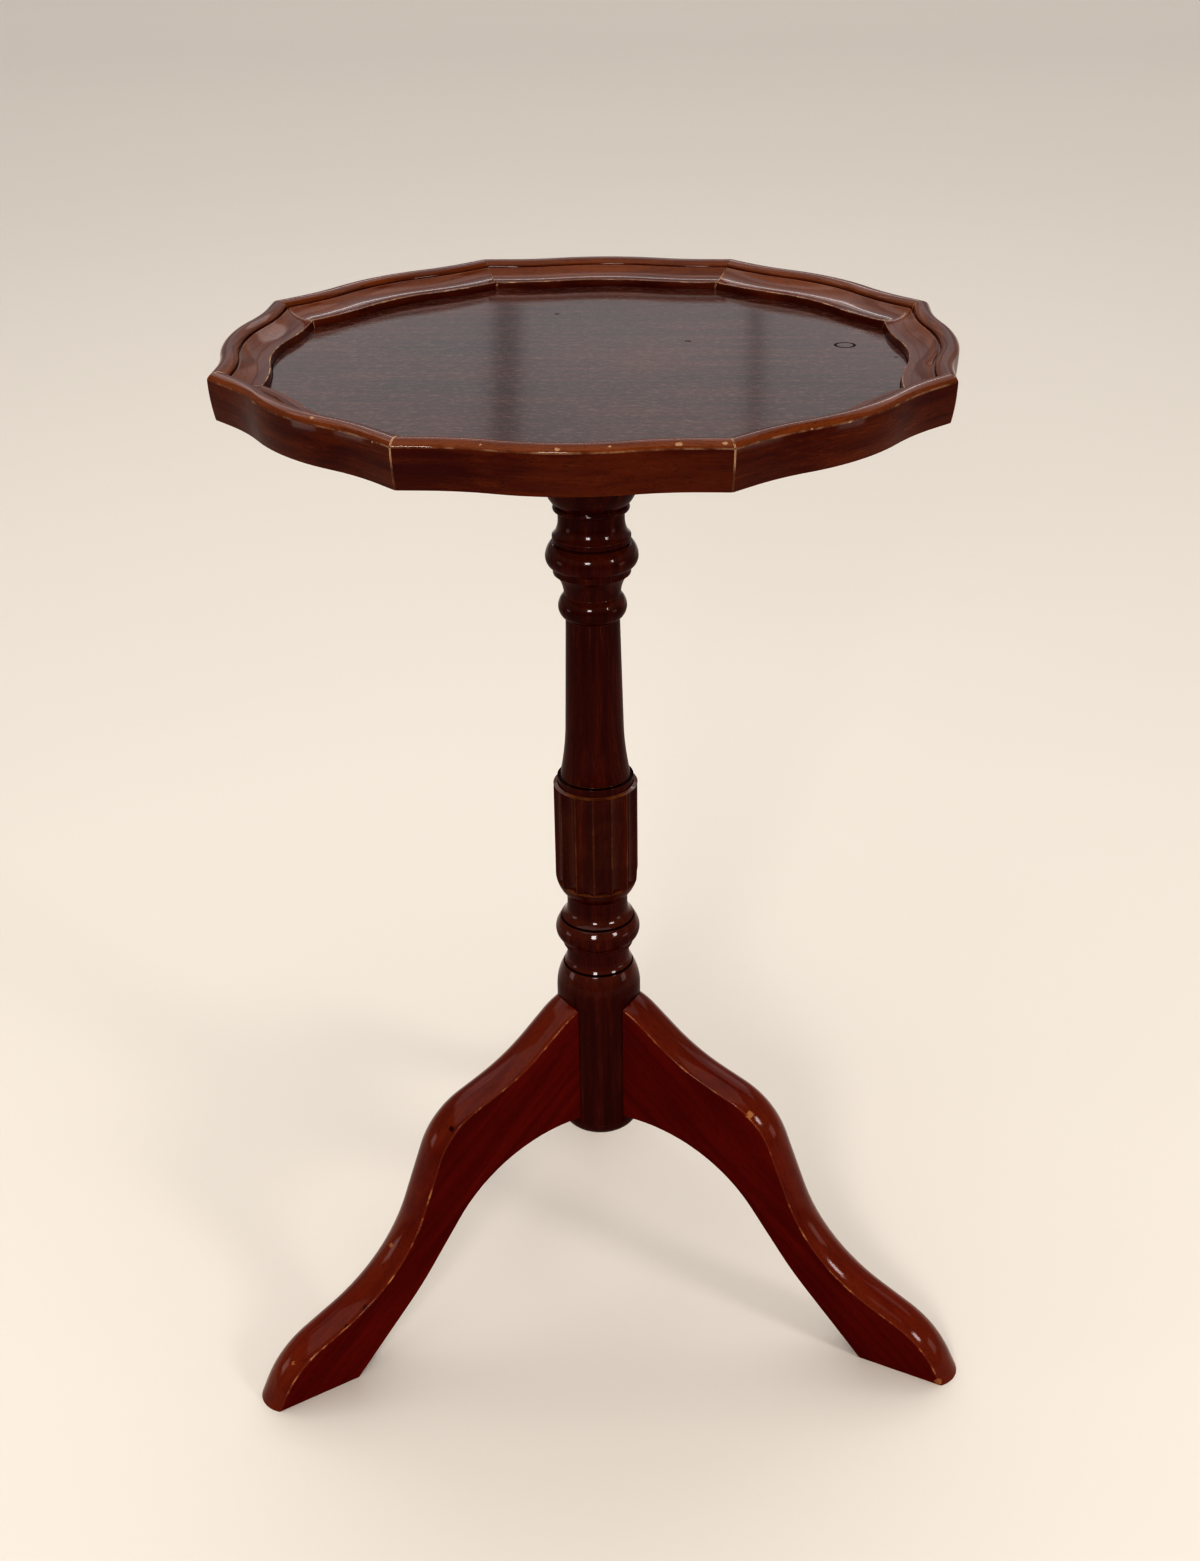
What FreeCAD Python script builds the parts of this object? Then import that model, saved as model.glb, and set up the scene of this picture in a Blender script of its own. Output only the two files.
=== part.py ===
import FreeCAD, Part
import math
import os
import re
from collections import namedtuple

import Sketcher
from FreeCAD import Placement, Rotation, Vector

# A piecrust side table: an eight-sided dished top with wavy sides, on a turned and fluted
# column with three S-shaped legs. Lengths are millimetres and turns are degrees. The origin
# is on the floor under the column's axis, +Z is up, and the front side of the top faces -Y.

FLUTES = 14
SCREWS = 4
SIDES = ("front", "front_right", "right", "back_right", "back", "back_left", "left", "front_left")
LEGS = ("back", "left", "right")

FRONT_TURN = -90.0
BACK_TURN = 90.0
FULL_TURN = 360.0

SIZES = {
    # Top: a panel tongued into eight mitred rim mouldings
    "table_height": 554.5,
    "rim_reach": 165.0,
    "rim_width": 23.2,
    "rim_lip": 3.7,
    "rim_batter": 1.9,
    "rim_swell": 7.0,
    "corner_flat": 3.0,
    "bead_width": 8.6,
    "bead_rise": 3.0,
    "quirk_width": 0.9,
    "quirk_depth": 0.9,
    "cove_drop": 5.0,
    "cove_sag": 1.6,
    "arris_lean": 0.6,
    "panel_thickness": 9.8,
    "tongue_length": 6.0,
    "tongue_thickness": 4.0,
    "joint_gap": 0.2,
    # Mounting block under the panel, with its screws, threaded insert and stud
    "block_radius": 60.0,
    "block_thickness": 18.0,
    "block_chamfer": 3.0,
    "screw_inset": 15.0,
    "screw_radius": 2.0,
    "screw_head_radius": 4.0,
    "screw_head_height": 2.5,
    "screw_bite": 6.0,
    "screw_point": 4.0,
    "slot_length": 5.6,
    "slot_width": 1.0,
    "slot_depth": 1.2,
    "insert_radius": 6.0,
    "insert_setback": 2.0,
    "stud_radius": 4.0,
    "stud_setback": 4.0,
    "stud_in_column": 45.0,
    "stud_chamfer": 0.8,
    "fit_clearance": 0.1,
    # Flutes on the drum of the column
    "flute_radius": 9.1,
    "flute_depth": 1.8,
    "flute_runout": 17.0,
    "flute_turn": 7.0,
    # Legs: the corners of the upper edge, each a run out and a drop from the one before, and
    # the corners underneath, each set back and down from the corner above it
    "leg_turn": 5.65,
    "leg_thickness": 22.0,
    "leg_crown": 4.0,
    "leg_crown_root": 4.0,
    "shoulder_inset": 4.0,
    "shoulder_bend": 38.0,
    "hollow_run": 36.9,
    "hollow_drop": 31.0,
    "hollow_bend": 110.0,
    "knee_run": 46.6,
    "knee_drop": 18.8,
    "knee_bend": 44.0,
    "ankle_run": 32.6,
    "ankle_drop": 84.9,
    "ankle_bend": 100.0,
    "instep_run": 68.0,
    "instep_drop": 33.3,
    "instep_bend": 52.0,
    "toe_run": 11.5,
    "toe_drop": 23.0,
    "sole_length": 47.5,
    "calf_setback": 10.4,
    "calf_depth": 10.5,
    "calf_bend": 200.0,
    "belly_setback": 29.4,
    "belly_depth": 24.4,
    "belly_bend": 88.0,
    # Post: how far it shows above and below the legs that stand against it
    "post_above": 3.5,
    "post_below": 4.5,
    # Dowels that join the legs to the post, the upper one below the legs' shoulder
    "dowel_radius": 5.0,
    "dowel_chamfer": 1.0,
    "dowel_in_post": 13.0,
    "dowel_in_leg": 22.0,
    "dowel_drop": 31.0,
    "dowel_spacing": 28.0,
}

# The column's turned members from its lower end to its top: the rise from the member below,
# the radius reached (None keeps the radius below) and the edge that leads there. A round edge
# is upright at its top or at its bottom. A member without a rise takes it from its neighbours:
# the foot and the post from the legs, and the shaft what is left below the top.
LINE = "line"
ROUND_TOP = "round at the top"
ROUND_BOTTOM = "round at the bottom"

Member = namedtuple("Member", "name rise radius edge")

COLUMN = (
    Member("foot_face", None, 14.0, LINE),
    Member("foot_round", 8.0, 22.0, ROUND_TOP),
    Member("post", 0.6, 22.9, LINE),
    Member("post_side", None, None, LINE),
    Member("post_shoulder", 14.8, 19.1, ROUND_BOTTOM),
    Member("shoulder_quirk", 0.6, 18.2, LINE),
    Member("shoulder_cap", 0.6, 18.7, LINE),
    Member("low_neck", 5.0, 16.9, ROUND_TOP),
    Member("low_neck_side", 5.9, None, LINE),
    Member("bulb_fillet", 0.6, 19.0, LINE),
    Member("bulb_fillet_side", 3.0, None, LINE),
    Member("bulb", 6.2, 22.75, ROUND_TOP),
    Member("bulb_shoulder", 7.0, 19.9, ROUND_BOTTOM),
    Member("bulb_quirk", 0.6, 19.0, LINE),
    Member("bulb_cap", 0.6, 19.7, LINE),
    Member("cup_neck", 6.9, 16.2, ROUND_TOP),
    Member("cup_neck_side", 6.4, None, LINE),
    Member("drum", 14.0, 22.2, ROUND_TOP),
    Member("drum_side", 52.3, None, LINE),
    Member("drum_ring", 0.6, 20.0, LINE),
    Member("drum_ring_side", 4.0, None, LINE),
    Member("shaft_foot", 0.7, 18.4, LINE),
    Member("shaft_flare", 32.0, 15.0, ROUND_TOP),
    Member("shaft", None, 13.7, LINE),
    Member("ring_fillet", 0.4, 14.3, LINE),
    Member("ring", 6.0, 17.3, ROUND_TOP),
    Member("throat", 6.5, 14.3, ROUND_BOTTOM),
    Member("throat_flare", 10.9, 18.3, ROUND_BOTTOM),
    Member("torus_fillet", 0.4, 19.5, LINE),
    Member("torus_fillet_side", 3.0, None, LINE),
    Member("torus", 5.7, 23.2, ROUND_TOP),
    Member("torus_shoulder", 7.2, 20.2, ROUND_BOTTOM),
    Member("torus_quirk", 0.5, 18.9, LINE),
    Member("band", 0.5, 19.6, LINE),
    Member("band_side", 2.8, None, LINE),
    Member("band_edge", 0.5, 18.9, LINE),
    Member("vase_neck", 7.2, 16.5, ROUND_TOP),
    Member("vase_neck_side", 4.5, None, LINE),
    Member("collar_fillet", 0.4, 17.5, LINE),
    Member("collar", 1.6, 19.05, ROUND_TOP),
    Member("collar_shoulder", 1.4, 17.9, ROUND_BOTTOM),
    Member("bell", 14.3, 24.0, ROUND_TOP),
    Member("bell_side", 12.0, None, LINE),
    Member("seat", 10.0, 29.0, ROUND_BOTTOM),
    Member("seat_side", 7.0, None, LINE),
)

for member in COLUMN:
    if member.rise is not None:
        SIZES[f"{member.name}_rise"] = member.rise
    if member.radius is not None:
        SIZES[f"{member.name}_radius"] = member.radius

doc = FreeCAD.newDocument("side_table")
dims = doc.addObject("Spreadsheet::Sheet", "dims")
for row, (alias, size) in enumerate(SIZES.items(), start=1):
    dims.set(f"A{row}", alias)
    dims.set(f"B{row}", str(size))
    dims.setAlias(f"B{row}", alias)
doc.recompute()


# Formulas

WORD = re.compile(r"[A-Za-z_]+")


def formula(text):
    """Turn a formula that names sizes into an expression on the sheet."""
    return WORD.sub(lambda word: f"dims.{word[0]}" if word[0] in SIZES else word[0], text)


def number(text):
    """Work out a formula."""
    return float(dims.evalExpression(formula(text)))


HALF_SIDE = f"{FULL_TURN / len(SIDES) / 2} deg"
ARRIS_DROP = "(cove_drop + rim_lip + panel_thickness)"
TOP_BOTTOM = f"(table_height - bead_rise - {ARRIS_DROP})"
BLOCK_BOTTOM = f"({TOP_BOTTOM} - block_thickness)"
SCREW_CIRCLE = "(block_radius - screw_inset)"
SWELL_END = f"((rim_reach - rim_width) * tan({HALF_SIDE}) - corner_flat)"
SWELL_BEND = f"(({SWELL_END}^2 + rim_swell^2) / (4 * rim_swell))"
SWELL_TURN = f"(2 * atan(rim_swell / {SWELL_END}))"

LEG_CORNERS = ("shoulder", "hollow", "knee", "ankle", "instep", "toe")


def leg_reach(name):
    """Give the formula of a leg corner's distance from the column's axis."""
    runs = [f"{corner}_run" for corner in LEG_CORNERS[1 : LEG_CORNERS.index(name) + 1]]
    return f"({' + '.join(['post_radius - shoulder_inset'] + runs)})"


def leg_level(name):
    """Give the formula of a leg corner's height above the floor."""
    drops = [f"{corner}_drop" for corner in LEG_CORNERS[LEG_CORNERS.index(name) + 1 :]]
    return f"({' + '.join(drops)})"


BELLY_LEVEL = f"({leg_level('knee')} - belly_depth)"
UPPER_DOWEL = f"({leg_level('shoulder')} - dowel_drop)"
DOWEL_LEVELS = (UPPER_DOWEL, f"({UPPER_DOWEL} - dowel_spacing)")

MEMBER_NAMES = [member.name for member in COLUMN]
ABOVE_POST = COLUMN[MEMBER_NAMES.index("post_side") + 1 :]
POST_TOP = f"({leg_level('shoulder')} + post_above)"
TURNED_RISE = " + ".join(f"{member.name}_rise" for member in ABOVE_POST if member.rise is not None)
TAKEN_RISES = {
    "foot_face": f"({BELLY_LEVEL} - post_below - post_rise - foot_round_rise)",
    "post_side": f"({POST_TOP} - {BELLY_LEVEL} + post_below)",
    "shaft": f"({BLOCK_BOTTOM} - {POST_TOP} - ({TURNED_RISE}))",
}


def rise_of(member):
    """Give the formula of a member's rise."""
    return TAKEN_RISES.get(member.name, f"{member.name}_rise")


def level_of(name):
    """Give the formula of a member's upper level above the floor."""
    return " + ".join(rise_of(member) for member in COLUMN[: MEMBER_NAMES.index(name) + 1])


# Sketches

LEFT = "left"
RIGHT = "right"
START, END, CENTRE = range(1, 4)
H_AXIS, V_AXIS = range(-1, -3, -1)
ROOT = (H_AXIS, START)

# A point of an outline, with the radius of the arc that leads on from it, if any, and the side
# of the way on which that arc bulges
Knot = namedtuple("Knot", "x y arc bulge", defaults=(None, LEFT))
# A corner of an outline, with the radius that rounds it, if any
Corner = namedtuple("Corner", "x y bend", defaults=(None,))


def arc_between(start, end, radius, bulge):
    """Draw the arc of a radius from one point to another."""
    half = (end - start) / 2
    sagitta = radius - math.sqrt(radius**2 - half.Length**2)
    across = Vector(-half.y, half.x, 0).normalize() * sagitta
    return Part.Arc(start, start + half + (across if bulge == LEFT else -across), end)


class Outline:
    """A sketch in a body whose points and radii are tied to the sheet."""

    def __init__(self, body, plane, name, offset=None):
        self.sketch = body.newObject("Sketcher::SketchObject", name)
        support = next(item for item in body.Origin.OriginFeatures if item.Role == plane)
        self.sketch.AttachmentSupport = [(support, "")]
        self.sketch.MapMode = "FlatFace"
        if offset is not None:
            self.sketch.setExpression("AttachmentOffset.Base.z", formula(offset))

    def turn(self, axis, angle):
        """Turn the sketch about an axis of its own."""
        offset = self.sketch.AttachmentOffset
        self.sketch.AttachmentOffset = Placement(offset.Base, Rotation(axis, number(angle)))
        self.sketch.setExpression("AttachmentOffset.Rotation.Angle", formula(f"{angle} * 1 deg"))

    def tie(self, kind, where, size):
        """Add a constraint whose size is a formula."""
        index = self.sketch.addConstraint(Sketcher.Constraint(kind, *where, number(size)))
        self.sketch.setExpression(f"Constraints[{index}]", formula(size))

    def hold(self, kind, *where):
        """Add a constraint that has no size."""
        self.sketch.addConstraint(Sketcher.Constraint(kind, *where))

    def place(self, geometry, end, x, y):
        """Tie a point to its two formulas."""
        for kind, axis, size in (("DistanceX", V_AXIS, x), ("DistanceY", H_AXIS, y)):
            if size == "0":
                self.hold("PointOnObject", geometry, end, axis)
            else:
                self.tie(kind, (*ROOT, geometry, end), size)

    def end_at(self, geometry, spot):
        """Say which end of an edge is at a spot."""
        gap = {end: (self.sketch.getPoint(geometry, end) - spot).Length for end in (START, END)}
        return min(gap, key=gap.get)

    def trace(self, knots, closed=True):
        """Draw edges from knot to knot."""
        spots = [Vector(number(knot.x), number(knot.y), 0) for knot in knots]
        first = self.sketch.GeometryCount
        count = len(knots) if closed else len(knots) - 1
        for index in range(count):
            start = spots[index]
            end = spots[(index + 1) % len(spots)]
            knot = knots[index]
            if knot.arc is None:
                edge = Part.LineSegment(start, end)
            else:
                edge = arc_between(start, end, number(knot.arc), knot.bulge)
            self.sketch.addGeometry(edge, False)
        for index, (knot, spot) in enumerate(zip(knots, spots)):
            before = first + (index - 1) % len(knots)
            after = first + index
            if closed or 0 < index < count:
                ends = (before, self.end_at(before, spot), after, self.end_at(after, spot))
                self.hold("Coincident", *ends)
            edge = after if index < count else before
            self.place(edge, self.end_at(edge, spot), knot.x, knot.y)
            if index < count and knot.arc is not None:
                self.tie("Radius", (after,), knot.arc)
        return self.sketch

    def round_off(self, corners, closed=True):
        """Draw straight runs through corners, with tangent arcs at those that have a bend."""
        spots = [Vector(number(corner.x), number(corner.y), 0) for corner in corners]
        cuts = []
        for index, corner in enumerate(corners):
            cut = 0.0
            if corner.bend is not None:
                before = spots[index - 1] - spots[index]
                after = spots[(index + 1) % len(spots)] - spots[index]
                cut = number(corner.bend) / math.tan(before.getAngle(after) / 2)
            cuts.append(cut)
        runs = []
        for index in range(len(corners) if closed else len(corners) - 1):
            following = (index + 1) % len(corners)
            along = (spots[following] - spots[index]).normalize()
            start = spots[index] + along * cuts[index]
            end = spots[following] - along * cuts[following]
            runs.append(self.sketch.addGeometry(Part.LineSegment(start, end), False))
        for index, corner in enumerate(corners):
            is_end = not closed and index in (0, len(corners) - 1)
            after = runs[index % len(runs)]
            if is_end:
                edge, end = (runs[0], START) if index == 0 else (runs[-1], END)
                self.place(edge, end, corner.x, corner.y)
            elif corner.bend is None:
                self.hold("Coincident", runs[index - 1], END, after, START)
                self.place(after, START, corner.x, corner.y)
            else:
                self.bend_corner(runs[index - 1], after, corner, spots[index])
        return self.sketch

    def bend_corner(self, before, after, corner, spot):
        """Round one corner with an arc that touches both of its runs."""
        start = self.sketch.getPoint(before, END)
        end = self.sketch.getPoint(after, START)
        way_in = spot - self.sketch.getPoint(before, START)
        way_out = self.sketch.getPoint(after, END) - spot
        bulge = RIGHT if way_in.cross(way_out).z > 0 else LEFT
        arc = self.sketch.addGeometry(arc_between(start, end, number(corner.bend), bulge), False)
        self.hold("Tangent", before, END, arc, self.end_at(arc, start))
        self.hold("Tangent", arc, self.end_at(arc, end), after, START)
        point = self.sketch.addGeometry(Part.Point(spot), True)
        self.place(point, START, corner.x, corner.y)
        self.hold("PointOnObject", point, START, before)
        self.hold("PointOnObject", point, START, after)
        self.tie("Radius", (arc,), corner.bend)

    def circle(self, x, y, radius):
        """Draw a circle."""
        spot = Vector(number(x), number(y), 0)
        edge = self.sketch.addGeometry(Part.Circle(spot, Vector(0, 0, 1), number(radius)), False)
        self.place(edge, CENTRE, x, y)
        self.tie("Radius", (edge,), radius)
        return self.sketch

    def axis(self, x):
        """Draw an upright construction line, as an axis to turn about."""
        low = Vector(number(x), 0, 0)
        line = self.sketch.addGeometry(Part.LineSegment(low, low + Vector(0, 1, 0)), True)
        self.hold("Vertical", line)
        self.place(line, START, x, "0")
        self.tie("DistanceY", (line, START, line, END), "table_height")
        return (self.sketch, ["Axis0"])


# Features

def origin_axis(body, role):
    """Find one of a body's own axes."""
    return next(item for item in body.Origin.OriginFeatures if item.Role == role)


def new_body(label, turn=None):
    """Start a sub-part, turned about the column's axis by a formula."""
    body = doc.addObject("PartDesign::Body", label)
    body.Label = label
    if turn is not None:
        body.Placement = Placement(Vector(), Rotation(Vector(0, 0, 1), number(turn)))
        body.setExpression("Placement.Rotation.Angle", formula(f"({turn}) * 1 deg"))
    return body


def pad(body, sketch, length, symmetric=False):
    """Thicken a sketch along its normal."""
    feature = body.newObject("PartDesign::Pad", f"{body.Name}_pad")
    feature.Profile = sketch
    feature.SideType = "Symmetric" if symmetric else "One side"
    feature.setExpression("Length", formula(length))
    return feature


def pocket(body, sketch, length=None, along=False):
    """Cut a sketch out, against its normal or along it, right through if no length is given."""
    feature = body.newObject("PartDesign::Pocket", f"{body.Name}_pocket")
    feature.Profile = sketch
    feature.Reversed = along
    if length is None:
        feature.Type = "ThroughAll"
    else:
        feature.setExpression("Length", formula(length))
    return feature


def spin(body, sketch, axis=None, kind="Revolution"):
    """Turn a sketch about an axis, to add a round shape or to cut one."""
    feature = body.newObject(f"PartDesign::{kind}", f"{body.Name}_{kind.lower()}")
    feature.Profile = sketch
    feature.ReferenceAxis = axis or (sketch, ["V_Axis"])
    feature.Angle = FULL_TURN
    return feature


def pipe(body, sketch, spine, kind="AdditivePipe"):
    """Draw a sketch along the edges of another one."""
    feature = body.newObject(f"PartDesign::{kind}", f"{body.Name}_{kind.lower()}")
    feature.Profile = sketch
    solid_edges = sum(1 for edge in range(spine.GeometryCount) if not spine.getConstruction(edge))
    feature.Spine = (spine, [f"Edge{edge + 1}" for edge in range(solid_edges)])
    return feature


def repeat(body, features, count):
    """Repeat features round the column's axis."""
    pattern = body.newObject("PartDesign::PolarPattern", f"{body.Name}_pattern")
    pattern.Originals = features
    pattern.Axis = (origin_axis(body, "Z_Axis"), [""])
    pattern.Angle = FULL_TURN
    pattern.Occurrences = count
    body.Tip = pattern
    return pattern


# Top

def serpentine(inset, end):
    """Trace the wavy line of one side, a given distance inside its outer arris."""
    line = f"(rim_reach - {inset})"
    bend_x = f"(rim_reach + rim_swell / 2 - {inset} * cos({SWELL_TURN}))"
    bend_y = f"({SWELL_END} / 2 - {inset} * sin({SWELL_TURN}))"
    hollow = f"({SWELL_BEND} + {inset})"
    crown = f"({SWELL_BEND} - {inset})"
    return [
        Knot(line, f"-{end}"),
        Knot(line, f"-{SWELL_END}", hollow, LEFT),
        Knot(bend_x, f"-{bend_y}", crown, RIGHT),
        Knot(bend_x, bend_y, hollow, LEFT),
        Knot(line, SWELL_END),
        Knot(line, end),
    ]


def rim_section():
    """Trace the section of a rim moulding, with the groove for the panel's tongue."""
    inner = "(rim_reach - rim_width)"
    groove = f"({inner} + tongue_length + joint_gap)"
    arris = "(table_height - bead_rise)"
    quirk = f"({arris} - quirk_depth)"
    bead_end = "(rim_reach - bead_width)"
    cove_start = f"({bead_end} - quirk_width)"
    cove_end = f"({inner} + arris_lean)"
    groove_top = f"({TOP_BOTTOM} + (panel_thickness + tongue_thickness) / 2 + joint_gap)"
    groove_bottom = f"({TOP_BOTTOM} + (panel_thickness - tongue_thickness) / 2 - joint_gap)"
    face_bend = f"(({ARRIS_DROP}^2 + rim_batter^2) / (2 * rim_batter))"
    bead_bend = "((bead_width^2 / 4 + bead_rise^2) / (2 * bead_rise))"
    cove_bend = f"((({cove_start} - {cove_end})^2 + cove_drop^2) / (8 * cove_sag) + cove_sag / 2)"
    return [
        Knot("(rim_reach - rim_batter)", TOP_BOTTOM, face_bend, RIGHT),
        Knot("rim_reach", arris, bead_bend, RIGHT),
        Knot(bead_end, arris),
        Knot(bead_end, quirk),
        Knot(cove_start, quirk),
        Knot(cove_start, arris, cove_bend, LEFT),
        Knot(cove_end, f"({arris} - cove_drop)"),
        Knot(inner, f"({TOP_BOTTOM} + panel_thickness)"),
        Knot(inner, groove_top),
        Knot(groove, groove_top),
        Knot(groove, groove_bottom),
        Knot(inner, groove_bottom),
        Knot(inner, TOP_BOTTOM),
    ]


def make_rim(side, turn):
    """Run a moulding along one side of the top and mitre both ends."""
    body = new_body(f"rim_{side}", turn)
    end = f"(rim_reach * tan({HALF_SIDE}) + corner_flat)"
    path = Outline(body, "XY_Plane", "rim_path").trace(serpentine("0", end), closed=False)
    section = Outline(body, "XZ_Plane", "rim_section", offset=end).trace(rim_section())
    pipe(body, section, path)
    waste = "(2 * rim_reach)"
    for hand in ("", "-"):
        mitre = Outline(body, "XY_Plane", "mitre")
        mitre.trace([
            Knot("0", "0"),
            Knot(waste, f"{hand}{waste} * tan({HALF_SIDE})"),
            Knot("0", f"{hand}{waste}"),
        ])
        pocket(body, mitre.sketch, along=True)
    return body


def make_panel():
    """Cut the panel as eight equal sectors, with a tongue all round and holes for the screws."""
    body = new_body("top_panel")
    tongue_bottom = f"{TOP_BOTTOM} + (panel_thickness - tongue_thickness) / 2"
    layers = (
        ("(rim_width + joint_gap)", TOP_BOTTOM, "panel_thickness"),
        ("(rim_width - tongue_length)", tongue_bottom, "tongue_thickness"),
    )
    sectors = []
    for inset, level, thickness in layers:
        edge = serpentine(inset, f"((rim_reach - {inset}) * tan({HALF_SIDE}))")
        sector = Outline(body, "XY_Plane", "sector", offset=level).trace([Knot("0", "0")] + edge)
        sectors.append(pad(body, sector, thickness))
    repeat(body, sectors, len(SIDES))
    hole = Outline(body, "XY_Plane", "screw_hole", offset=TOP_BOTTOM)
    hole.circle(SCREW_CIRCLE, "0", "(screw_radius + fit_clearance)")
    repeat(body, [pocket(body, hole.sketch, "screw_bite + fit_clearance", along=True)], SCREWS)
    return body


# Mounting block and its fixings

def screw_section(clearance, tip):
    """Trace half of a countersunk screw, or of its hole, from its head up."""
    head_top = f"({BLOCK_BOTTOM} + screw_head_height)"
    shank = f"({SCREW_CIRCLE} + screw_radius + {clearance})"
    return [
        Knot(SCREW_CIRCLE, BLOCK_BOTTOM),
        Knot(f"({SCREW_CIRCLE} + screw_head_radius + {clearance})", BLOCK_BOTTOM),
        Knot(shank, head_top),
        Knot(shank, tip),
    ]


def make_block():
    """Turn the block that joins the panel to the column."""
    body = new_body("mounting_block")
    bore = "(insert_radius + fit_clearance)"
    disc = Outline(body, "XZ_Plane", "disc")
    disc.trace([
        Knot(bore, BLOCK_BOTTOM),
        Knot("(block_radius - block_chamfer)", BLOCK_BOTTOM),
        Knot("block_radius", f"({BLOCK_BOTTOM} + block_chamfer)"),
        Knot("block_radius", TOP_BOTTOM),
        Knot(bore, TOP_BOTTOM),
    ])
    spin(body, disc.sketch)
    hole = Outline(body, "XZ_Plane", "screw_hole")
    axis = hole.axis(SCREW_CIRCLE)
    hole.trace(screw_section("fit_clearance", TOP_BOTTOM) + [Knot(SCREW_CIRCLE, TOP_BOTTOM)])
    repeat(body, [spin(body, hole.sketch, axis, "Groove")], SCREWS)
    return body


def make_screws():
    """Make the screws that hold the block to the panel, as a group."""
    body = new_body("block_screws")
    tip = f"({TOP_BOTTOM} + screw_bite)"
    screw = Outline(body, "XZ_Plane", "screw")
    axis = screw.axis(SCREW_CIRCLE)
    screw.trace(screw_section("0", f"({tip} - screw_point)") + [Knot(SCREW_CIRCLE, tip)])
    features = [spin(body, screw.sketch, axis)]
    long_half = "(slot_length / 2)"
    short_half = "(slot_width / 2)"
    for half_x, half_y in ((long_half, short_half), (short_half, long_half)):
        slot = Outline(body, "XY_Plane", "slot", offset=BLOCK_BOTTOM)
        slot.trace([
            Knot(f"({SCREW_CIRCLE} - {half_x})", f"-{half_y}"),
            Knot(f"({SCREW_CIRCLE} + {half_x})", f"-{half_y}"),
            Knot(f"({SCREW_CIRCLE} + {half_x})", half_y),
            Knot(f"({SCREW_CIRCLE} - {half_x})", half_y),
        ])
        features.append(pocket(body, slot.sketch, "slot_depth", along=True))
    repeat(body, features, SCREWS)
    return body


def make_insert():
    """Turn the threaded insert in the block."""
    body = new_body("threaded_insert")
    bore = "(stud_radius + fit_clearance)"
    top = f"({TOP_BOTTOM} - insert_setback)"
    barrel = Outline(body, "XZ_Plane", "barrel")
    barrel.trace([
        Knot(bore, BLOCK_BOTTOM),
        Knot("insert_radius", BLOCK_BOTTOM),
        Knot("insert_radius", top),
        Knot(bore, top),
    ])
    spin(body, barrel.sketch)
    return body


def make_stud():
    """Turn the stud that screws the column to the block."""
    body = new_body("column_stud")
    low = f"({BLOCK_BOTTOM} - stud_in_column)"
    high = f"({TOP_BOTTOM} - stud_setback)"
    tip = "(stud_radius - stud_chamfer)"
    rod = Outline(body, "XZ_Plane", "rod")
    rod.trace([
        Knot("0", low),
        Knot(tip, low),
        Knot("stud_radius", f"({low} + stud_chamfer)"),
        Knot("stud_radius", f"({high} - stud_chamfer)"),
        Knot(tip, high),
        Knot("0", high),
    ])
    spin(body, rod.sketch)
    return body


# Column

def column_section():
    """Trace half of the column from its lower end to its top, and back down the stud's bore."""
    knots = [Knot("0", level_of("foot_face"))]
    radius = "foot_face_radius"
    for member, above in zip(COLUMN, COLUMN[1:] + (None,)):
        if member.radius is not None:
            radius = f"{member.name}_radius"
        arc = None
        bulge = LEFT
        if above is not None and above.edge != LINE:
            step = f"({above.name}_radius - {radius})"
            rise = rise_of(above)
            arc = f"(({rise}^2 + {step}^2) / (2 * abs({step})))"
            swells = number(step) > 0
            bulge = RIGHT if swells == (above.edge == ROUND_TOP) else LEFT
        knots.append(Knot(radius, level_of(member.name), arc, bulge))
    bore = "(stud_radius + fit_clearance)"
    bore_end = f"({BLOCK_BOTTOM} - stud_in_column - fit_clearance)"
    return knots + [Knot(bore, BLOCK_BOTTOM), Knot(bore, bore_end), Knot("0", bore_end)]


def cut_flutes(body):
    """Cut flutes down the drum, following the cup in at its lower end."""
    out = "(drum_radius + flute_radius - flute_depth)"
    top = f"({level_of('drum_side')})"
    cup_top = f"({level_of('drum')})"
    cup_step = "(drum_radius - cup_neck_radius)"
    cup_bend = f"((drum_rise^2 + {cup_step}^2) / (2 * {cup_step}))"
    path_bend = f"({cup_bend} + flute_radius - flute_depth)"
    end_x = f"(drum_radius - {cup_bend} + {path_bend} * cos(flute_runout * 1 deg))"
    end_y = f"({cup_top} - {path_bend} * sin(flute_runout * 1 deg))"
    path = Outline(body, "XZ_Plane", "flute_path")
    path.turn(Vector(0, 1, 0), "flute_turn")
    path.trace([Knot(out, top), Knot(out, cup_top, path_bend, LEFT), Knot(end_x, end_y)], closed=False)
    tool = Outline(body, "XY_Plane", "flute_tool", offset=top)
    tool.turn(Vector(0, 0, 1), "flute_turn")
    tool.circle(out, "0", "flute_radius")
    repeat(body, [pipe(body, tool.sketch, path.sketch, "SubtractivePipe")], FLUTES)


def make_column(turn):
    """Turn the column, flute its drum and bore it for the dowels."""
    body = new_body("column", turn)
    section = Outline(body, "XZ_Plane", "column_section").trace(column_section())
    spin(body, section)
    cut_flutes(body)
    hole_end = "(post_radius - dowel_in_post - fit_clearance)"
    holes = Outline(body, "YZ_Plane", "dowel_holes", offset=hole_end)
    for level in DOWEL_LEVELS:
        holes.circle("0", level, "(dowel_radius + fit_clearance)")
    repeat(body, [pocket(body, holes.sketch, along=True)], len(LEGS))
    return body


# Legs

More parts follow.
